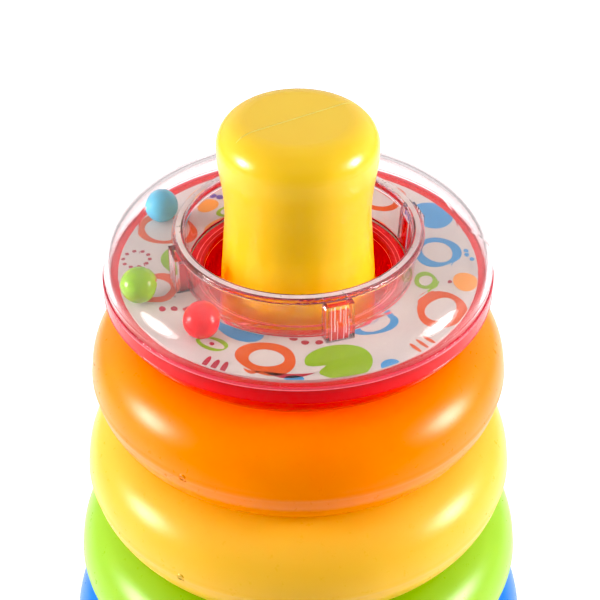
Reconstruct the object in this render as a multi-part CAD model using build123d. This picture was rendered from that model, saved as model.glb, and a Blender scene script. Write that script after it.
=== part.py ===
from build123d import *
import math
import os

# Stacking ring toy: a hollow cone post on a rocker base, four hollow rings and a clear-topped rattle ring.
# Millimetres, +Z up. The origin is the centre of the flat foot under the base, and +Z is the post's axis.
# Outlines are half sections, drawn as (radius, height) and turned about +Z.

# Stack
stack_gap = 0.3  # play between one ring and the next
base_height = 30.0  # floor to the deck that the lowest ring rests on
tube_radius = 16.5  # tube of every hollow ring
ring_wall = 1.6
ring_pitch = 2 * tube_radius + stack_gap
ring_outer_radius = {
    "blue_ring": 70.0,
    "green_ring": 65.5,
    "yellow_ring": 61.0,
    "orange_ring": 57.4,
}

# Rattle ring, with its heights measured down from the top of its collar
rattle_height = 26.6
collar_outer_radius = 32.75
collar_inner_radius = 30.0
collar_foot_outer_radius = 31.0
collar_foot_inner_radius = 29.2
clear_top_drop = 1.2  # flat top of the clear shell
clear_wall = 1.4
clear_side_radius = 51.3  # side wall where it meets the shoulder
clear_shoulder_radius = 9.5
edge_rounding = 0.25  # small outer edges of the clear shell
rim_rounding = 0.6  # both edges of the collar's rim
collar_root_rounding = 0.5  # where the collar meets the clear top, outside
collar_draft = 0.4  # how much the collar thickens from its foot up to the clear top
inner_root_rounding = 0.8
seam_drop = 12.7  # where the clear shell sits on the red one
seam_flange_radius = 51.9
seam_flange_depth = 0.9
seam_side_radius = 51.6
disc_top_drop = 12.6
disc_thickness = 0.6
disc_outer_radius = 47.9
disc_inner_radius = 29.2
disc_clearance = 0.2
red_band_drop = 16.8  # lower edge of the red shell's upright band
red_wall = 1.6
bowl_arc_radius = 13.0
bowl_arc_centre_radius = 38.9
hub_inner_radius = 24.7
hub_corner_radius = 2.5
hub_mouth_rounding = 3.5  # top inner edge of the hub
ledge_inner_radius = 46.8
flange_outer_radius = 34.6

# Lugs that lock the two shells together
lug_count = 4
lug_first_angle = 17.8
lug_thickness = 1.7
lug_width = 4.8
lug_top_drop = 4.6
lug_inner_radius = 31.15
pocket_clearance = 0.2
pocket_wall = 1.15
cut_past = 1.0  # how far a cut runs past the face that it opens

# Beads, as name: (distance from the axis, angle about +Z)
bead_radius = 4.6
bead_lift = 0.2
beads = {
    "blue_bead": (42.7, 151.9),
    "green_bead": (43.8, 202.1),
    "red_bead": (39.1, 232.4),
}

# Post and rocker base
foot_radius = 28.0
rocker_radius = 125.0
rim_radius = 8.5
post_wall = 1.8
post_root_fillet = 6.0
cone_taper = 4.5  # degrees from upright
waist_drop = -5.7
waist_radius = 19.15
waist_arc_radius = 60.0
head_drop = -24.5
head_radius = 20.8
head_rounding = 7.7

# Levels worked out from the sizes above
first_ring_level = base_height + stack_gap + tube_radius
ring_levels = {
    name: first_ring_level + place * ring_pitch
    for place, name in enumerate(ring_outer_radius)
}
rattle_bottom = max(ring_levels.values()) + tube_radius + stack_gap
collar_top = rattle_bottom + rattle_height


def turned(outline):
    """Solid made by turning a closed outline, drawn as (radius, height), about +Z."""
    return revolve(Plane.XZ * outline, Axis.Z)


def below_collar(radius, drop):
    """Point of a half section, at a distance below the top of the rattle ring's collar."""
    return (radius, collar_top - drop)


def lug_places():
    """The angles about +Z at which the rattle ring's lugs stand."""
    return [lug_first_angle + 360 / lug_count * index for index in range(lug_count)]


def radial_block(angle, inner, outer, width, low, high):
    """Block that spans two radii and two levels, centred on an angle about +Z."""
    block = Box(outer - inner, width, high - low)
    return Rot(0, 0, angle) * Pos((inner + outer) / 2, 0, (low + high) / 2) * block


def post_outline():
    """Outer half section of the post and its base, from the foot up to the head."""
    rocker_centre = math.sqrt(rocker_radius**2 - foot_radius**2)
    rim_level = base_height - rim_radius
    centre_drop = rocker_centre - rim_level
    rim_centre = math.sqrt((rocker_radius - rim_radius) ** 2 - centre_drop**2)
    foot_angle = math.degrees(math.atan2(-rocker_centre, foot_radius))
    join_angle = math.degrees(math.atan2(-centre_drop, rim_centre))

    waist = below_collar(waist_radius, waist_drop)
    head = below_collar(head_radius, head_drop)
    flare = head_radius - waist_radius
    rise = head[1] - waist[1]
    bend = 2 * math.degrees(math.atan2(flare, rise))
    head_arc_radius = (flare**2 + rise**2) / (2 * flare) - waist_arc_radius
    neck = CenterArc(
        (waist[0] + waist_arc_radius, waist[1]), waist_arc_radius, 180 + cone_taper, -cone_taper - bend
    )
    cone_top = neck @ 0
    root_radius = cone_top.X + math.tan(math.radians(cone_taper)) * (cone_top.Y - base_height)
    root = (root_radius, base_height)
    crown = (head_radius - head_rounding, head[1] + head_rounding)

    edges = [
        Line((0, 0), (foot_radius, 0)),
        CenterArc((0, rocker_centre), rocker_radius, foot_angle, join_angle - foot_angle),
        CenterArc((rim_centre, rim_level), rim_radius, join_angle, 90 - join_angle),
        Polyline((rim_centre, base_height), root, cone_top),
        neck,
        CenterArc((head_radius - head_arc_radius, head[1]), head_arc_radius, -bend, bend),
        CenterArc((crown[0], head[1]), head_rounding, 0, 90),
        Polyline(crown, (0, crown[1]), (0, 0)),
    ]
    outline = make_face(edges)
    root_corner = outline.vertices().sort_by_distance(root)[0]
    return fillet(root_corner, post_root_fillet)


def post_base():
    """Blow-moulded post and rocker base in one sealed hollow piece."""
    half = post_outline()
    whole = half + mirror(half, Plane.YZ)
    core = offset(whole, -post_wall)
    reach = 2 * collar_top
    right_side = Pos(reach / 2, 0) * Rectangle(reach, 2 * reach)
    return turned(half - (core & right_side))


def hollow_ring(name):
    """Blow-moulded ring: a hollow round tube bent into a circle."""
    section = Circle(tube_radius) - Circle(tube_radius - ring_wall)
    centre_radius = ring_outer_radius[name] - tube_radius
    return turned(Pos(centre_radius, ring_levels[name]) * section)


def clear_top_shell():
    """Clear upper half of the rattle ring: side wall, flat top, collar and lug pockets."""
    underside = clear_top_drop + clear_wall
    corners = [
        (seam_flange_radius, seam_drop, edge_rounding),
        (seam_flange_radius, seam_drop - seam_flange_depth, edge_rounding),
        (seam_side_radius, seam_drop - seam_flange_depth, 0),
        (clear_side_radius, clear_top_drop, clear_shoulder_radius),
        (collar_outer_radius, clear_top_drop, collar_root_rounding),
        (collar_outer_radius, 0, rim_rounding),
        (collar_inner_radius, 0, rim_rounding),
        (collar_foot_inner_radius, disc_top_drop, edge_rounding),
        (collar_foot_outer_radius, disc_top_drop, edge_rounding),
        (collar_foot_outer_radius + collar_draft, underside, inner_root_rounding),
        (clear_side_radius - clear_wall, underside, clear_shoulder_radius - clear_wall),
        (seam_side_radius - clear_wall, seam_drop, 0),
    ]
    path = [below_collar(radius, drop) for radius, drop, _ in corners]
    rounding = [fillet_radius for _, _, fillet_radius in corners]
    shell = turned(make_face(FilletPolyline(*path, radius=rounding, close=True)))

    foot = collar_top - disc_top_drop
    void_inner = lug_inner_radius - pocket_clearance
    void_outer = lug_inner_radius + lug_thickness + pocket_clearance
    void_width = lug_width + 2 * pocket_clearance
    void_top = collar_top - lug_top_drop + 2 * pocket_clearance
    for angle in lug_places():
        pocket = radial_block(
            angle,
            (collar_foot_inner_radius + collar_foot_outer_radius) / 2,
            void_outer + pocket_wall,
            void_width + 2 * pocket_wall,
            foot,
            collar_top - clear_top_drop - clear_wall / 2,
        )
        shell += pocket
    for angle in lug_places():
        shell -= radial_block(angle, void_inner, void_outer, void_width, foot - cut_past, void_top)
    return shell


def red_bottom_shell():
    """Red lower half of the rattle ring: band, bowl, hub, disc ledges and lugs."""
    bowl_centre_level = collar_top - rattle_height + bowl_arc_radius
    floor_level = collar_top - rattle_height

    def bowl_point(arc_radius, level):
        """Point at a level on the bowl's round stretch."""
        height = bowl_centre_level - level
        return (bowl_arc_centre_radius + math.sqrt(arc_radius**2 - height**2), level)

    ledge_top = collar_top - disc_top_drop - disc_thickness
    ledge_under = ledge_top - red_wall
    inner_arc_radius = bowl_arc_radius - red_wall
    hub_outer_radius = hub_inner_radius + red_wall
    lip_outer_radius = disc_inner_radius - disc_clearance
    lip_top = collar_top - disc_top_drop

    band_foot = below_collar(seam_flange_radius, red_band_drop)
    outer_start = bowl_point(bowl_arc_radius, band_foot[1])
    outer_end = (bowl_arc_centre_radius, floor_level)
    hub_bend = (hub_inner_radius + hub_corner_radius, floor_level)
    hub_rise = (hub_inner_radius, floor_level + hub_corner_radius)
    mouth_start = (hub_inner_radius, lip_top - hub_mouth_rounding)
    mouth_end = (hub_inner_radius + hub_mouth_rounding, lip_top)
    inner_start = bowl_point(inner_arc_radius, ledge_under)
    inner_end = (bowl_arc_centre_radius, floor_level + red_wall)
    band_inner = seam_side_radius - clear_wall

    edges = [
        Polyline(below_collar(seam_flange_radius, seam_drop), band_foot, outer_start),
        RadiusArc(outer_start, outer_end, bowl_arc_radius),
        Line(outer_end, hub_bend),
        RadiusArc(hub_bend, hub_rise, hub_corner_radius),
        Line(hub_rise, mouth_start),
        RadiusArc(mouth_start, mouth_end, hub_mouth_rounding),
        Polyline(
            mouth_end,
            (lip_outer_radius, lip_top),
            (lip_outer_radius, ledge_top),
            (flange_outer_radius, ledge_top),
            (flange_outer_radius, ledge_under),
            (hub_outer_radius, ledge_under),
            (hub_outer_radius, floor_level + red_wall),
            inner_end,
        ),
        RadiusArc(inner_end, inner_start, -inner_arc_radius),
        Polyline(
            inner_start,
            (ledge_inner_radius, ledge_under),
            (ledge_inner_radius, ledge_top),
            (band_inner, ledge_top),
            below_collar(band_inner, seam_drop),
            below_collar(seam_flange_radius, seam_drop),
        ),
    ]
    shell = turned(make_face(edges))
    for angle in lug_places():
        shell += radial_block(
            angle,
            lug_inner_radius,
            lug_inner_radius + lug_thickness,
            lug_width,
            ledge_under,
            collar_top - lug_top_drop,
        )
    return shell


def printed_disc():
    """Thin printed disc that lies on the red shell's ledges, with a window for each lug."""
    low = collar_top - disc_top_drop - disc_thickness
    section = Pos((disc_inner_radius + disc_outer_radius) / 2, low + disc_thickness / 2) * Rectangle(
        disc_outer_radius - disc_inner_radius, disc_thickness
    )
    disc = turned(section)
    for angle in lug_places():
        disc -= radial_block(
            angle,
            lug_inner_radius - pocket_clearance,
            lug_inner_radius + lug_thickness + pocket_clearance,
            lug_width + 2 * pocket_clearance,
            low - cut_past,
            low + disc_thickness + cut_past,
        )
    return disc


def bead(name):
    """Ball that rolls round in the rattle ring's channel."""
    distance, angle = beads[name]
    level = collar_top - disc_top_drop + bead_lift + bead_radius
    return Rot(0, 0, angle) * Pos(distance, 0, level) * Sphere(bead_radius)


nodes = {
    "post_base": post_base(),
    "clear_top_shell": clear_top_shell(),
    "red_bottom_shell": red_bottom_shell(),
    "printed_disc": printed_disc(),
}
for ring_name in ring_outer_radius:
    nodes[ring_name] = hollow_ring(ring_name)
for bead_name in beads:
    nodes[bead_name] = bead(bead_name)

os.makedirs("parts", exist_ok=True)
for node_name, solid in nodes.items():
    export_step(solid, f"parts/{node_name}.step")
    print(node_name, round(solid.volume), "mm3")
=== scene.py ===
import bmesh
import bpy
import math
from mathutils import Matrix, Vector, noise
from mathutils.bvhtree import BVHTree


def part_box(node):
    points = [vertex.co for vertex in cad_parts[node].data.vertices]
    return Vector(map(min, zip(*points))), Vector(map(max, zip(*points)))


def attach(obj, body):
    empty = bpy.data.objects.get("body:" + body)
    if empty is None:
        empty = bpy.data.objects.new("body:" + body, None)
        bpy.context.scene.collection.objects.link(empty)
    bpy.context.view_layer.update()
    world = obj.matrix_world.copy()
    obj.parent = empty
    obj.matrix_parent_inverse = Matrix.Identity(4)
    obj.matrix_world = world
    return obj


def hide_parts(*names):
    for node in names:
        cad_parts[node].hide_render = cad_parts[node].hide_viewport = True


# Stacking ring toy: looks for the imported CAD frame. Everything is in metres, in the CAD's frame.
# Outlines are half sections drawn as (radius, height) in millimetres and turned about +Z.
MM = 0.001
SEGMENTS = 256

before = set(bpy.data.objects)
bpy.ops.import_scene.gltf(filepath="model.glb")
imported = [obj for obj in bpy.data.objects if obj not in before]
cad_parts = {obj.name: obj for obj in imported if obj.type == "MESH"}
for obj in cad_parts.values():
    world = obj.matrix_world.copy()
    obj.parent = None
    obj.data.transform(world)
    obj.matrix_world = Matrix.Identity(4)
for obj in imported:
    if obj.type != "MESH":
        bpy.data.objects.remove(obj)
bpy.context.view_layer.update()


# ------------------------------------------------------------------ places read from the frame
def height_range(node):
    """Lowest and highest level of a CAD node, in millimetres."""
    low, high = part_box(node)
    return low.z / MM, high.z / MM


def outer_radius(node):
    """Largest distance of a turned CAD node from the post's axis, in millimetres."""
    low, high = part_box(node)
    return max(high.x, -low.x) / MM


SEAM_LEVEL, COLLAR_TOP = height_range("clear_top_shell")
SEAM_RADIUS = outer_radius("clear_top_shell")
RATTLE_BOTTOM = height_range("red_bottom_shell")[0]
DISC_TOP = height_range("printed_disc")[1]


# ------------------------------------------------------------------ small geometry helpers
def arc(centre, radius, start, end, steps=16):
    """Points on a round stretch of an outline, from one angle to another, in degrees."""
    angles = [math.radians(start + (end - start) * i / steps) for i in range(steps + 1)]
    return [(centre[0] + radius * math.cos(a), centre[1] + radius * math.sin(a)) for a in angles]


def rounded(corners, steps=10):
    """Closed outline through (radius, height, rounding) corners, each replaced by its fillet."""
    outline = []
    for index, (x, z, rounding) in enumerate(corners):
        here = Vector((x, z))
        before = Vector(corners[index - 1][:2]) - here
        after = Vector(corners[(index + 1) % len(corners)][:2]) - here
        if rounding == 0:
            outline.append((x, z))
            continue
        before.normalize()
        after.normalize()
        half = before.angle(after) / 2
        centre = here + (before + after).normalized() * (rounding / math.sin(half))
        first = here + before * (rounding / math.tan(half)) - centre
        last = here + after * (rounding / math.tan(half)) - centre
        turn = first.angle_signed(last)
        for step in range(steps + 1):
            spoke = Matrix.Rotation(-turn * step / steps, 2) @ first
            outline.append(tuple(centre + spoke))
    return outline


def new_object(name, mesh, material):
    """Link a mesh as an object with one material."""
    obj = bpy.data.objects.new(name, mesh)
    bpy.context.scene.collection.objects.link(obj)
    mesh.materials.append(material)
    return obj


def lathe(name, outline, material, segments=SEGMENTS, closed=True, sharp=40):
    """Turn an outline about +Z. A closed outline gives a ring; an open one starts and ends on the axis."""
    bm = bmesh.new()
    rings = []
    for radius, height in outline:
        if radius < 1e-6:
            rings.append([bm.verts.new((0, 0, height * MM))])
            continue
        ring = []
        for k in range(segments):
            a = 2 * math.pi * k / segments
            ring.append(bm.verts.new((radius * math.cos(a) * MM, radius * math.sin(a) * MM, height * MM)))
        rings.append(ring)
    pairs = list(zip(rings, rings[1:]))
    if closed:
        pairs.append((rings[-1], rings[0]))
    for low, high in pairs:
        for k in range(segments):
            n = (k + 1) % segments
            if len(low) == 1:
                bm.faces.new((low[0], high[k], high[n]))
            elif len(high) == 1:
                bm.faces.new((low[k], high[0], low[n]))
            else:
                bm.faces.new((low[k], high[k], high[n], low[n]))
    bmesh.ops.recalc_face_normals(bm, faces=bm.faces)
    return finish_mesh(name, bm, material, sharp)


def finish_mesh(name, bm, material, sharp=40):
    """Turn a bmesh into a smooth-shaded object whose creases stay sharp."""
    mesh = bpy.data.meshes.new(name)
    bm.to_mesh(mesh)
    bm.free()
    mesh.shade_smooth()
    mesh.set_sharp_from_angle(angle=math.radians(sharp))
    return new_object(name, mesh, material)


def waver(obj, amount, size, seed):
    """Give a blow-moulded skin its faint unevenness, by moving points along their normals."""
    shift = Vector((seed * 7.3, seed * 3.1, seed * 5.7))
    normals = [v.normal.copy() for v in obj.data.vertices]
    for v, normal in zip(obj.data.vertices, normals):
        v.co += normal * (amount * MM * noise.noise(v.co / (size * MM) + shift))


def on_axis(distance, angle, height=0.0):
    """Point in metres at a distance from the post's axis, an angle about +Z and a height, both in mm."""
    a = math.radians(angle)
    return Vector((distance * math.cos(a), distance * math.sin(a), height)) * MM


# ------------------------------------------------------------------ materials
def srgb(r, g, b):
    """Linear colour for an sRGB colour given in 0-255."""
    shares = (c / 255 for c in (r, g, b))
    return tuple(((c + 0.055) / 1.055) ** 2.4 if c > 0.04 else c / 12.92 for c in shares) + (1.0,)


def scaled(colour, factor):
    """Linear colour with its brightness multiplied."""
    return tuple(min(1.0, c * factor) for c in colour[:3]) + (1.0,)


class Nodes:
    """Short way to add shader nodes to a new material."""

    def __init__(self, name):
        self.material = bpy.data.materials.new(name)
        self.material.use_nodes = True
        self.tree = self.material.node_tree
        self.bsdf = self.tree.nodes["Principled BSDF"]

    def add(self, kind, **settings):
        node = self.tree.nodes.new(kind)
        for key, value in settings.items():
            if hasattr(node, key):
                setattr(node, key, value)
            else:
                node.inputs[key.replace("_", " ")].default_value = value
        return node

    def link(self, source, target):
        self.tree.links.new(source, target)

    def set(self, **values):
        for key, value in values.items():
            self.bsdf.inputs[key.replace("_", " ")].default_value = value

    def position(self):
        return self.add("ShaderNodeTexCoord").outputs["Object"]

    def noise(self, scale, detail=3.0, roughness=0.5):
        node = self.add("ShaderNodeTexNoise", Scale=scale, Detail=detail, Roughness=roughness)
        self.link(self.position(), node.inputs["Vector"])
        return node.outputs["Fac"]

    def ramp(self, factor, low, high, start=0.3, end=0.7):
        """Map a 0-1 factor onto a range of numbers."""
        node = self.add("ShaderNodeMapRange")
        node.inputs["From Min"].default_value = start
        node.inputs["From Max"].default_value = end
        node.inputs["To Min"].default_value = low
        node.inputs["To Max"].default_value = high
        self.link(factor, node.inputs["Value"])
        return node.outputs["Result"]

    def colours(self, factor, stops):
        node = self.add("ShaderNodeValToRGB")
        ramp = node.color_ramp
        while len(ramp.elements) < len(stops):
            ramp.elements.new(0.5)
        for element, (place, colour) in zip(ramp.elements, stops):
            element.position = place
            element.color = colour
        self.link(factor, node.inputs["Fac"])
        return node.outputs["Color"]

    def bump(self, height, strength, distance):
        node = self.add("ShaderNodeBump", Strength=strength, Distance=distance)
        self.link(height, node.inputs["Height"])
        self.link(node.outputs["Normal"], self.bsdf.inputs["Normal"])


def blown_plastic(name, light, deep, shine=0.45, roughness=0.28, glow=0.25, white=1.6):
    """Blow-moulded polyethylene: soft gloss, faint clouds of colour, fine skin texture and light scuffs.

    Its reflections are tinted with its own colour; a higher white brings them nearer to white.
    """
    m = Nodes(name)
    clouds = m.noise(38.0, detail=2.0)
    m.link(m.colours(clouds, [(0.3, deep), (0.7, light)]), m.bsdf.inputs["Base Color"])
    m.set(IOR=1.45, Specular_IOR_Level=shine, Subsurface_Weight=glow, Subsurface_Scale=0.006)
    tint = tuple((c + white) / (1 + white) for c in light[:3])
    m.bsdf.inputs["Specular Tint"].default_value = tint + (1.0,)
    m.bsdf.inputs["Subsurface Radius"].default_value = (1.0, 0.6, 0.3)
    scuffs = m.noise(420.0, detail=4.0, roughness=0.7)
    m.link(m.ramp(scuffs, roughness - 0.01, roughness + 0.02), m.bsdf.inputs["Roughness"])
    skin = m.noise(260.0, detail=1.0)
    m.bump(skin, 0.06, 0.0001)
    return m.material


def let_lamps_through(m, tint):
    """Mix in a Transparent shader for shadow rays, so that clear plastic throws a light, tinted shadow."""
    path = m.add("ShaderNodeLightPath")
    through = m.add("ShaderNodeBsdfTransparent")
    through.inputs["Color"].default_value = tint
    mix = m.add("ShaderNodeMixShader")
    m.link(path.outputs["Is Shadow Ray"], mix.inputs["Fac"])
    m.link(m.bsdf.outputs["BSDF"], mix.inputs[1])
    m.link(through.outputs["BSDF"], mix.inputs[2])
    m.link(mix.outputs["Shader"], m.tree.nodes["Material Output"].inputs["Surface"])


def absorb(m, colour, density):
    """Tint what is seen through a long path inside the plastic, as along a moulding's edges."""
    tint = m.add("ShaderNodeVolumeAbsorption", Density=density)
    tint.inputs["Color"].default_value = colour
    m.link(tint.outputs["Volume"], m.tree.nodes["Material Output"].inputs["Volume"])


def clear_plastic(name):
    """Polished clear styrene with flow marks and a trace of haze."""
    m = Nodes(name)
    m.set(Transmission_Weight=0.99, IOR=1.4)
    m.bsdf.inputs["Base Color"].default_value = srgb(255, 252, 252)
    haze = m.noise(60.0, detail=4.0)
    m.link(m.ramp(haze, 0.03, 0.06, 0.45, 0.8), m.bsdf.inputs["Roughness"])
    m.bump(m.noise(25.0, detail=1.0), 0.15, 0.0006)
    let_lamps_through(m, (0.95, 0.94, 0.94, 1))
    absorb(m, (0.85, 0.18, 0.32, 1), 28.0)
    return m.material


def red_plastic(name):
    """Translucent red styrene."""
    m = Nodes(name)
    m.set(Transmission_Weight=0.6, IOR=1.4, Subsurface_Weight=0.2, Subsurface_Scale=0.003)
    clouds = m.noise(50.0)
    reds = m.colours(clouds, [(0.3, srgb(236, 4, 16)), (0.7, srgb(246, 12, 28))])
    m.link(reds, m.bsdf.inputs["Base Color"])
    m.link(m.ramp(m.noise(300.0, detail=4.0), 0.06, 0.14), m.bsdf.inputs["Roughness"])
    m.bump(m.noise(25.0, detail=1.0), 0.1, 0.0005)
    let_lamps_through(m, (0.95, 0.06, 0.07, 1))
    return m.material


def frosted_plastic(name):
    """Clear styrene, rougher and partly opaque, with a pale whitish colour."""
    m = Nodes(name)
    m.set(Transmission_Weight=0.45, IOR=1.4)
    streaks = m.colours(m.noise(40.0), [(0.35, srgb(222, 206, 214)), (0.65, srgb(246, 238, 240))])
    m.link(streaks, m.bsdf.inputs["Base Color"])
    m.link(m.ramp(m.noise(500.0), 0.25, 0.45), m.bsdf.inputs["Roughness"])
    let_lamps_through(m, (0.9, 0.88, 0.88, 1))
    return m.material


def film(name, colour, roughness=0.35):
    """Printed film: satin, with the faint grain of the print."""
    m = Nodes(name)
    grain = m.noise(1500.0, detail=2.0)
    m.link(m.colours(grain, [(0.3, colour), (0.7, scaled(colour, 1.06))]), m.bsdf.inputs["Base Color"])
    m.link(m.ramp(m.noise(90.0), roughness - 0.05, roughness + 0.1), m.bsdf.inputs["Roughness"])
    m.bump(grain, 0.05, 0.00005)
    return m.material


def bead_plastic(name, light, deep):
    """Glossy moulded bead."""
    m = Nodes(name)
    m.link(m.colours(m.noise(160.0), [(0.3, deep), (0.7, light)]), m.bsdf.inputs["Base Color"])
    m.set(IOR=1.42, Coat_Weight=0.1, Coat_Roughness=0.05, Subsurface_Weight=0.15, Subsurface_Scale=0.002)
    m.link(m.ramp(m.noise(600.0), 0.12, 0.22), m.bsdf.inputs["Roughness"])
    m.bump(m.noise(700.0), 0.08, 0.0001)
    return m.material


YELLOW_POST = blown_plastic(
    "post_plastic", srgb(253, 202, 50), srgb(250, 196, 44), shine=0.6, roughness=0.2, white=6.0
)
RING_COLOURS = {
    "blue_ring": (srgb(20, 122, 232), srgb(12, 108, 220)),
    "green_ring": (srgb(152, 198, 48), srgb(144, 190, 40)),
    "yellow_ring": (srgb(241, 188, 62), srgb(237, 182, 56)),
    "orange_ring": (srgb(255, 136, 0), srgb(254, 128, 0)),
}
CLEAR = clear_plastic("clear_plastic")
FROST = frosted_plastic("frosted_plastic")
RED = red_plastic("red_plastic")
CRIMSON = film("crimson_plastic", srgb(206, 34, 62), roughness=0.2)
# Pale pink for fine lines that stand in for bright reflections: a painted highlight
PINK_HIGHLIGHT = film("pink_highlight_plastic", srgb(244, 118, 130), roughness=0.25)
WHITE_FILM = film("white_film", srgb(194, 190, 185))
INKS = {
    "coral": film("coral_ink", srgb(200, 78, 12)),
    "leaf": film("leaf_ink", srgb(126, 168, 4)),
    "blue": film("blue_ink", srgb(48, 140, 196)),
    "maroon": film("maroon_ink", srgb(160, 20, 48)),
    "amber": film("amber_ink", srgb(228, 152, 64)),
    "violet": film("violet_ink", srgb(84, 76, 156)),
}


# ------------------------------------------------------------------ hollow rings
def tube_outline(radius, tube, level, flash_angle, flash_height=0.28, flash_width=1.3):
    """Round tube section with the thin raised line left by the mould, outside and inside."""
    steps = 128
    outline = []
    for i in range(steps):
        angle = 360 * i / steps
        lift = 0.0
        for line in (flash_angle, 180 - flash_angle):
            away = abs((angle - line + 180) % 360 - 180)
            lift = max(lift, flash_height * math.exp(-((away / flash_width) ** 2) * 4))
        a = math.radians(angle)
        outline.append((radius + (tube + lift) * math.cos(a), level + (tube + lift) * math.sin(a)))
    return outline


FLASH_ANGLE = -3.0
SKIN_ROOM = 0.32  # how far the skins lie inside the CAD rings, so that the mould lines don't pass them
VENT_AZIMUTH = -121
VENT_DEPTH = 0.1  # how far the scar lies under its pit
VENT_SECTION = [(0, 0.02), (0.45, 0.03), (0.7, 0.3), (0.95, 0.34), (1.3, 0.12), (1.5, -0.3), (0, -0.3)]
PIT_SECTION = [(0, 0.1), (0.4, 0.12), (0.75, 0.2), (0.8, -0.1), (0, -0.1)]


def vent_mark(name, section, material, centre_radius, tube, level):
    """Piece of the small scar on a hollow ring's mould line, where the blow pin was drawn out."""
    mark = lathe(name, section, material, segments=32, closed=False)
    out = math.radians(FLASH_ANGLE)
    reach = centre_radius + tube * math.cos(out)
    place = Matrix.Translation(on_axis(reach, VENT_AZIMUTH, level + tube * math.sin(out)))
    tilt = Matrix.Rotation(math.radians(90) - out, 4, "Y")
    turn = Matrix.Rotation(math.radians(VENT_AZIMUTH), 4, "Z")
    mark.data.transform(place @ turn @ tilt)
    return mark


for seed, (name, (light, deep)) in enumerate(RING_COLOURS.items()):
    low, high = height_range(name)
    tube = (high - low) / 2
    level = (low + high) / 2
    centre_radius = outer_radius(name) - tube
    plastic = blown_plastic(name.replace("ring", "plastic"), light, deep)
    skin = tube - SKIN_ROOM
    ring = lathe(name + "_skin", tube_outline(centre_radius, skin, level, FLASH_ANGLE), plastic, sharp=180)
    waver(ring, 0.06, 30, seed)
    vent = vent_mark(name + "_vent_mark", VENT_SECTION, plastic, centre_radius, skin - VENT_DEPTH, level)
    # The pit is painted a dark brown of the ring's deep colour: painted shade in the recess
    pit_shade_colour = scaled(deep, 0.3)
    painted_pit_shade = blown_plastic(name.replace("ring", "vent_shade_plastic"), pit_shade_colour, pit_shade_colour)
    pit = vent_mark(name + "_vent_pit", PIT_SECTION, painted_pit_shade, centre_radius, skin, level)
    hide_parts(name)
    for piece in (ring, vent, pit):
        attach(piece, name)

# ------------------------------------------------------------------ nodes kept from the CAD
KEPT = {
    "post_base": YELLOW_POST,
    "clear_top_shell": CLEAR,
    "red_bottom_shell": RED,
    "printed_disc": WHITE_FILM,
    "blue_bead": bead_plastic("blue_bead_plastic", srgb(80, 192, 226), srgb(72, 182, 216)),
    "green_bead": bead_plastic("green_bead_plastic", srgb(138, 190, 1), srgb(128, 180, 0)),
    "red_bead": bead_plastic("red_bead_plastic", srgb(236, 30, 34), srgb(222, 20, 26)),
}
for name, material in KEPT.items():
    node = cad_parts[name]
    node.data.materials.clear()
    node.data.materials.append(material)

# ------------------------------------------------------------------ mould line on the post
def surface_of(node):
    """Ray-casting tree of a CAD node's mesh."""
    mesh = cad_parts[node].data
    return BVHTree.FromPolygons([v.co for v in mesh.vertices], [p.vertices for p in mesh.polygons])


def mould_line(name, material, node, azimuth, low, width, height, fade):
    """Fine raised line over the top of a turned node, which sinks into its rounded edge at both ends."""
    surface = surface_of(node)
    up = Vector((0, 0, 1))
    edge_centre = 13
    head = up * (height_range(node)[1] - 8.0) * MM
    across = Vector((math.cos(math.radians(azimuth)), math.sin(math.radians(azimuth)), 0))
    side = Vector((-across.y, across.x, 0))
    aims = []
    for degrees in range(45, 91, 3):
        a = math.radians(degrees)
        aims.append((across * edge_centre * MM + head, across * math.cos(a) + up * math.sin(a)))
    for step in range(edge_centre - 1, 0, -1):
        aims.append((across * step * MM + head, up))
    aims += [(Vector((-s.x, -s.y, s.z)), Vector((-d.x, -d.y, d.z))) for s, d in reversed(aims)]

    bm = bmesh.new()
    sections = []
    for start, direction in aims:
        place, normal, _, _ = surface.ray_cast(start + direction * 0.1, -direction)
        lift = height * max(-0.5, min(1.0, (place.z / MM - low) / fade)) * MM
        half = side * (width / 2 * MM)
        root = place - normal * 0.03 * MM
        corners = (root + half, place + normal * lift, root - half, place - normal * 0.2 * MM)
        sections.append([bm.verts.new(corner) for corner in corners])
    for one, two in zip(sections, sections[1:]):
        for k in range(4):
            n = (k + 1) % 4
            bm.faces.new((one[k], one[n], two[n], two[k]))
    bm.faces.new(sections[0])
    bm.faces.new(reversed(sections[-1]))
    bmesh.ops.recalc_face_normals(bm, faces=bm.faces)
    return finish_mesh(name, bm, material, sharp=70)


# The mould line is coloured paler than the post: a painted highlight for the glint along its ridge
POST_LINE_HIGHLIGHT = blown_plastic("post_line_highlight_plastic", srgb(255, 228, 104), srgb(252, 222, 96), white=6.0)
post_line = mould_line(
    "post_mould_line", POST_LINE_HIGHLIGHT, "post_base", azimuth=31.6, low=220.6, width=0.5, height=0.16, fade=1.0
)
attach(post_line, "post")

# ------------------------------------------------------------------ fine ribs and lines on the rattle ring
def add_rib(bm, low, high, corners):
    """Upright bar from one level to another, whose section has (distance, angle) corners."""
    ends = []
    for level in (low, high):
        ends.append([bm.verts.new(on_axis(radius, angle, level)) for radius, angle in corners])
    count = len(corners)
    for k in range(count):
        n = (k + 1) % count
        bm.faces.new((ends[0][k], ends[0][n], ends[1][n], ends[1][k]))
    bm.faces.new(ends[0])
    bm.faces.new(reversed(ends[1]))


def rattle_detail(obj):
    """Let a detail ride on the rattle ring."""
    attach(obj, "rattle_ring")


HUB_RIBS = 72
HUB_INNER = 24.7
HUB_MOUTH = 3.5
bm = bmesh.new()
for index in range(HUB_RIBS):
    angle = 360 * index / HUB_RIBS
    section = ((HUB_INNER + 0.2, angle - 0.9), (HUB_INNER - 0.3, angle), (HUB_INNER + 0.2, angle + 0.9))
    add_rib(bm, RATTLE_BOTTOM + 3.0, DISC_TOP - HUB_MOUTH - 0.2, section)
bmesh.ops.recalc_face_normals(bm, faces=bm.faces)
rattle_detail(finish_mesh("hub_ribs", bm, RED, sharp=50))
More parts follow.
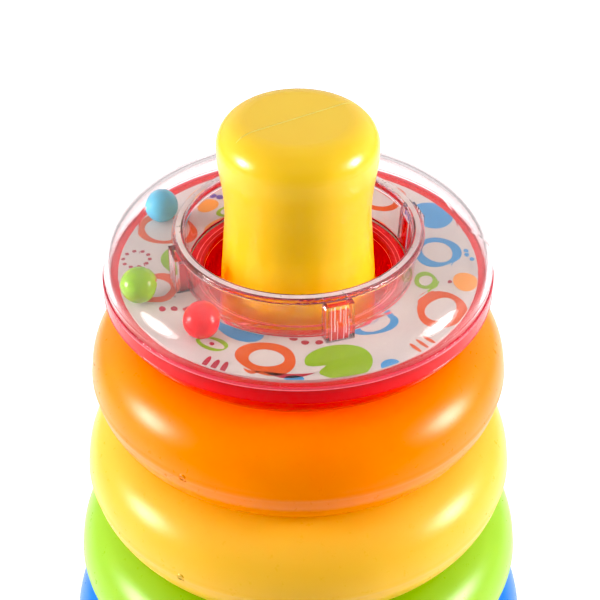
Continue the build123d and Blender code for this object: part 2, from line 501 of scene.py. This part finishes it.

# Fine bright lines round the rounded mouth of the hub: pale pink rings painted on as highlights, standing
# in for the reflections on its rounding
MOUTH_CENTRE = (HUB_INNER + HUB_MOUTH, DISC_TOP - HUB_MOUTH)
for angle, thickness in ((104, 0.12), (121, 0.06), (149, 0.09)):
    spot = arc(MOUTH_CENTRE, HUB_MOUTH, angle, angle, steps=1)[0]
    line = lathe(f"mouth_highlight_{angle}", arc(spot, thickness, 0, 300, steps=5), PINK_HIGHLIGHT, sharp=180)
    rattle_detail(line)

# Flutes up the outer face of each lug's clear pocket
LUG_ANGLES = [17.8 + 90 * index for index in range(4)]
POCKET_FACE = 34.2
CLEAR_TOP_UNDERSIDE = COLLAR_TOP - 2.6
# Each flute: angle from the lug's middle, gap below, gap above (mm) and half width in degrees
FLUTES = (
    (-3.9, 0.4, 0.3, 0.16), (-2.4, 3.2, 0.2, 0.28), (-1.2, 0.5, 4.4, 0.14), (0.1, 5.0, 0.4, 0.3),
    (1.5, 0.4, 1.6, 0.15), (2.5, 2.2, 0.3, 0.2), (3.8, 0.6, 3.6, 0.16),
)
bm = bmesh.new()
for lug_angle in LUG_ANGLES:
    for place, foot, stop, half in FLUTES:
        angle = lug_angle + place
        face = POCKET_FACE / math.cos(math.radians(place))
        section = ((face - 0.1, angle - half), (face + 0.12, angle), (face - 0.1, angle + half))
        add_rib(bm, DISC_TOP + foot, CLEAR_TOP_UNDERSIDE - stop, section)
bmesh.ops.recalc_face_normals(bm, faces=bm.faces)
rattle_detail(finish_mesh("pocket_flutes", bm, FROST, sharp=50))



def band_section(inner, outer, low, high, rounding, steps):
    """Section of a flat band with rounded edges."""
    corners = ((outer, low), (outer, high), (inner, high), (inner, low))
    return rounded([corner + (rounding,) for corner in corners], steps)


# Red welds that the clear plastic stands on: its edges carry their colour up to the eye
for name, inner, outer, level in (
    ("seam_weld", SEAM_RADIUS - 1.2, SEAM_RADIUS - 0.12, SEAM_LEVEL),
    ("collar_weld", 30.2, 30.8, DISC_TOP),
):
    section = band_section(inner, outer, level - 0.15, level + 0.3, rounding=0.1, steps=4)
    rattle_detail(lathe(name, section, CRIMSON, sharp=180))

# Frosted band round the top of the collar
section = band_section(30.75, 32.1, COLLAR_TOP - 0.06, COLLAR_TOP + 0.03, rounding=0.03, steps=3)
rattle_detail(lathe("rim_frost", section, FROST, sharp=180))

# Pale line where the two shells are welded, its pale pink a painted highlight along the flange's edge, and
# the rounded lower edge of the red band
BAND_FOOT = COLLAR_TOP - 16.8
seam_highlight = lathe("seam_highlight_line", arc((SEAM_RADIUS - 0.03, SEAM_LEVEL), 0.14, 0, 330, steps=11), PINK_HIGHLIGHT, sharp=180)
rattle_detail(seam_highlight)
edge = lathe("band_edge", arc((SEAM_RADIUS - 0.24, BAND_FOOT), 0.32, 0, 337.5, steps=15), RED, sharp=180)
rattle_detail(edge)


# ------------------------------------------------------------------ print on the disc
# A motif is drawn at a distance and an angle about the post's axis. Its half sizes are given outwards
# along the radius and then sideways, in millimetres, and its loops are lists of points in the same way.
PRINT_EDGE = 47.8
PRINT_INNER = 31.2
INK_DEPTH = 0.05


def loop(out, side, wobble=0.05, seed=0.0, notch=0.0, steps=64):
    """Closed hand-drawn oval, given by its half sizes, with a notch in its clockwise side if asked."""
    points = []
    for step in range(steps):
        a = 2 * math.pi * step / steps
        r = 1 + wobble * (math.sin(2 * a + seed) + 0.6 * math.sin(3 * a + 2.1 * seed))
        away = math.remainder(a - 1.6 * math.pi, 2 * math.pi)
        r -= notch * math.exp(-((away / 0.2) ** 2))
        points.append((r * out * math.cos(a), r * side * math.sin(a)))
    return points


def lens(out, side, steps=12):
    """Leaf shape with a point at each end, lying sideways."""
    up = [(out * (1 - t * t), side * t) for t in (2 * i / steps - 1 for i in range(steps + 1))]
    return up + [(-x, y) for x, y in reversed(up[1:-1])]


def crescent(width, depth, steps=14):
    """Crescent that is thickest in the middle, lying sideways."""
    turns = [2 * i / steps - 1 for i in range(steps + 1)]
    outer = [(depth * (1 - t * t), width * t) for t in turns]
    inner = [(depth * 0.35 * (1 - t * t), width * t) for t in reversed(turns[1:-1])]
    return outer + inner


def print_motif(ink, distance, azimuth, outline, hole=None):
    """Add one printed shape to its ink's mesh, as a thin closed plate on the disc."""
    bm = prints[ink]
    a = math.radians(azimuth)

    def placed(points, level):
        spots = []
        for out, side in points:
            x = (distance + out) * math.cos(a) - side * math.sin(a)
            y = (distance + out) * math.sin(a) + side * math.cos(a)
            reach = math.hypot(x, y)
            kept = max(PRINT_INNER, min(PRINT_EDGE, reach)) / reach
            spots.append(bm.verts.new((x * kept * MM, y * kept * MM, level * MM)))
        return spots

    low, high = (placed(outline, DISC_TOP + level) for level in (-0.02, INK_DEPTH))
    count = len(outline)
    for k in range(count):
        n = (k + 1) % count
        bm.faces.new((low[k], low[n], high[n], high[k]))
    if hole is None:
        bm.faces.new(high)
        bm.faces.new(list(reversed(low)))
        return
    hole_low, hole_high = (placed(hole, DISC_TOP + level) for level in (-0.02, INK_DEPTH))
    for k in range(count):
        n = (k + 1) % count
        bm.faces.new((high[k], high[n], hole_high[n], hole_high[k]))
        bm.faces.new((hole_low[k], hole_low[n], low[n], low[k]))
        bm.faces.new((hole_high[k], hole_high[n], hole_low[n], hole_low[k]))


def print_ring(ink, distance, azimuth, out, side, line, seed):
    """Open hand-drawn ring."""
    print_motif(
        ink, distance, azimuth, loop(out, side, 0.07, seed), loop(out - line, side - line, 0.04, seed + 1.7)
    )


def print_blob(ink, distance, azimuth, out, side, seed=0.0, notch=0.0):
    """Filled shape."""
    print_motif(ink, distance, azimuth, loop(out, side, 0.05, seed, notch))


def print_row(ink, places, size):
    """Dots at (distance, angle) places."""
    for seed, (distance, azimuth) in enumerate(places):
        print_motif(ink, distance, azimuth, loop(size, size * 1.2, 0.06, seed, steps=16))


prints = {ink: bmesh.new() for ink in INKS}

# Open rings: ink, distance, angle, half size out, half size sideways, line width
for seed, ring in enumerate(
    (
        ("coral", 40.4, -101, 6.2, 7.6, 3.0),
        ("coral", 38.6, -163, 5.8, 6.2, 2.3),
        ("coral", 40.0, 157, 7.6, 7.4, 2.0),
        ("coral", 41.6, -29, 6.6, 7.6, 2.6),
        ("coral", 40.0, 54, 6.4, 7.4, 2.4),
        ("coral", 38.0, 106, 6.4, 7.2, 2.5),
        ("blue", 31.9, -53, 4.6, 6.2, 1.7),
        ("blue", 37.8, 7, 6.0, 7.0, 2.1),
        ("blue", 41.0, 82, 5.2, 6.4, 1.8),
        ("leaf", 40.1, -122, 2.5, 4.4, 1.0),
        ("leaf", 34.5, -14, 3.2, 3.6, 1.4),
        ("leaf", 33.0, 128, 2.6, 3.4, 1.1),
    )
):
    print_ring(*ring, seed)

# Filled shapes: ink, distance, angle, half size out, half size sideways
for seed, blob in enumerate(
    (
        ("blue", 31.5, -117, 4.2, 6.6),
        ("blue", 43.6, 31, 5.4, 6.8),
        ("blue", 47.5, -62, 1.6, 2.6),
        ("amber", 44.6, -11, 3.4, 4.0),
        ("amber", 38.7, 133, 2.8, 3.6),
        ("amber", 29.0, 40, 2.6, 4.0),
        ("amber", 30.0, 140, 2.0, 5.2),
        ("leaf", 43.5, 95, 3.6, 5.2),
        ("violet", 45.0, 68, 2.4, 3.2),
    )
):
    print_blob(*blob, seed)

print_blob("leaf", 42.0, -76, 6.4, 8.4, seed=0.4, notch=0.5)
print_motif("leaf", 33.8, 177, lens(3.0, 6.0))
print_motif("maroon", 45.0, -93, crescent(6.5, 2.2))
print_motif("coral", 45.3, -104, crescent(2.4, 1.6))
print_blob("blue", 47.2, -91, 0.9, 2.4)

print_row("maroon", ((31.6, -92), (33.3, -87), (33.6, -81)), 0.9)
print_row("maroon", ((39.9, -150), (37.1, -148), (34.5, -145)), 0.9)
print_row("violet", ((41.7, 127), (40.0, 125), (38.2, 122)), 1.0)
print_row("blue", ((45.4, 4.5), (46.6, 2.0), (45.6, 6.8)), 0.7)
print_row("maroon", ((40.2, -122), (40.4, -12)), 0.6)
for spoke in range(10):
    a = math.radians(36 * spoke)
    dot = loop(0.6, 0.6, 0.05, spoke, steps=12)
    print_motif("maroon", 43.3 + 3.6 * math.cos(a), 178 + 4.8 * math.sin(a), dot)
for azimuth in (-118.5, -115.5, -112.5):
    print_motif("maroon", 47.0, azimuth, loop(2.4, 0.75, 0.05, azimuth, steps=20))
for azimuth in (-51, -48, -45):
    print_motif("coral", 46.0, azimuth, loop(2.2, 0.5, 0.05, azimuth, steps=20))

for ink, bm in prints.items():
    bmesh.ops.recalc_face_normals(bm, faces=bm.faces)
    rattle_detail(finish_mesh("print_" + ink, bm, INKS[ink], sharp=30))

# ------------------------------------------------------------------ floor, light and camera
# The floor glows softly in a round pool behind the toy, as under a lit backdrop
FLOOR_HALF = 3.0
FLOOR_GLOW = 0.8
POOL_CENTRE = (0, 0.33, 0)
POOL_FULL = 0.33
POOL_EDGE = 0.54
floor_corners = [(x * FLOOR_HALF, y * FLOOR_HALF, 0) for x, y in ((-1, -1), (1, -1), (1, 1), (-1, 1))]
floor_mesh = bpy.data.meshes.new("floor")
floor_mesh.from_pydata(floor_corners, [], [(0, 1, 2, 3)])
floor_material = Nodes("floor_white")
floor_material.set(Roughness=0.7)
floor_material.bsdf.inputs["Base Color"].default_value = srgb(198, 198, 198)
floor_material.bsdf.inputs["Emission Color"].default_value = srgb(255, 255, 255)
reach = floor_material.add("ShaderNodeVectorMath", operation="DISTANCE")
reach.inputs[1].default_value = POOL_CENTRE
floor_material.link(floor_material.position(), reach.inputs[0])
pool = floor_material.ramp(reach.outputs["Value"], FLOOR_GLOW, 0.0, POOL_FULL, POOL_EDGE)
floor_material.link(pool, floor_material.bsdf.inputs["Emission Strength"])
floor = new_object("floor", floor_mesh, floor_material.material)

# The surroundings grow from dim in front of the toy to bright behind it
world = bpy.data.worlds.new("studio")
world.use_nodes = True
sky = world.node_tree
backdrop = sky.nodes["Background"]
backdrop.inputs["Color"].default_value = (1, 1, 1, 1)
toward = sky.nodes.new("ShaderNodeTexCoord")
split = sky.nodes.new("ShaderNodeSeparateXYZ")
fade = sky.nodes.new("ShaderNodeMapRange")
for name, value in (("From Min", -0.2), ("From Max", 0.6), ("To Min", 0.3), ("To Max", 0.85)):
    fade.inputs[name].default_value = value
sky.links.new(toward.outputs["Generated"], split.inputs["Vector"])
sky.links.new(split.outputs["Y"], fade.inputs["Value"])
sky.links.new(fade.outputs["Result"], backdrop.inputs["Strength"])
bpy.context.scene.world = world

# A small black level takes the white veil of the pale room off the deep colours
view = bpy.context.scene.view_settings
view.view_transform = "Standard"
view.use_curve_mapping = True
view.curve_mapping.black_level = (0.02, 0.02, 0.02)
view.curve_mapping.update()

# The clear shells need more bounces than usual
cycles = bpy.context.scene.cycles
cycles.max_bounces = 24
cycles.glossy_bounces = 16
cycles.transmission_bounces = 24
cycles.transparent_max_bounces = 16

AIM = Vector((0, 0, COLLAR_TOP * MM))


def softbox(name, azimuth, elevation, distance, size, power):
    """Round area light that faces the toy. Azimuth 0 is the side the camera stands on."""
    a, e = math.radians(azimuth), math.radians(elevation)
    toward = Vector((math.sin(a) * math.cos(e), -math.cos(a) * math.cos(e), math.sin(e)))
    data = bpy.data.lights.new(name, "AREA")
    data.shape = "DISK"
    data.size = size
    data.energy = power
    lamp = bpy.data.objects.new(name, data)
    lamp.location = AIM + toward * distance
    lamp.rotation_euler = toward.to_track_quat("Z", "Y").to_euler()
    lamp.visible_camera = False
    bpy.context.scene.collection.objects.link(lamp)


# Each side light is brightest in the middle, so its reflection fades out at the edge: size, power
SIDE_DISCS = ((0.24, 4.6), (0.38, 2.2), (0.6, 0.5), (1.2, 0.6))
for side, azimuth in (("left", -80), ("right", 82)):
    for ring, (size, power) in enumerate(SIDE_DISCS):
        softbox(f"softbox_{side}_{ring}", azimuth, 12, 0.8 + 0.01 * ring, size, power)
softbox("softbox_front", 0, 66, 1.3, 2.4, 3.4)

CAMERA_PITCH = 36.97
camera_data = bpy.data.cameras.new("camera")
camera_data.sensor_width = 36
camera_data.lens = 89.4
camera_data.clip_start = 0.01
camera = bpy.data.objects.new("camera", camera_data)
camera.location = (0.0005, -0.3236, COLLAR_TOP * MM + 0.219)
camera.rotation_euler = (math.radians(90 - CAMERA_PITCH), 0, 0)
bpy.context.scene.collection.objects.link(camera)
bpy.context.scene.camera = camera
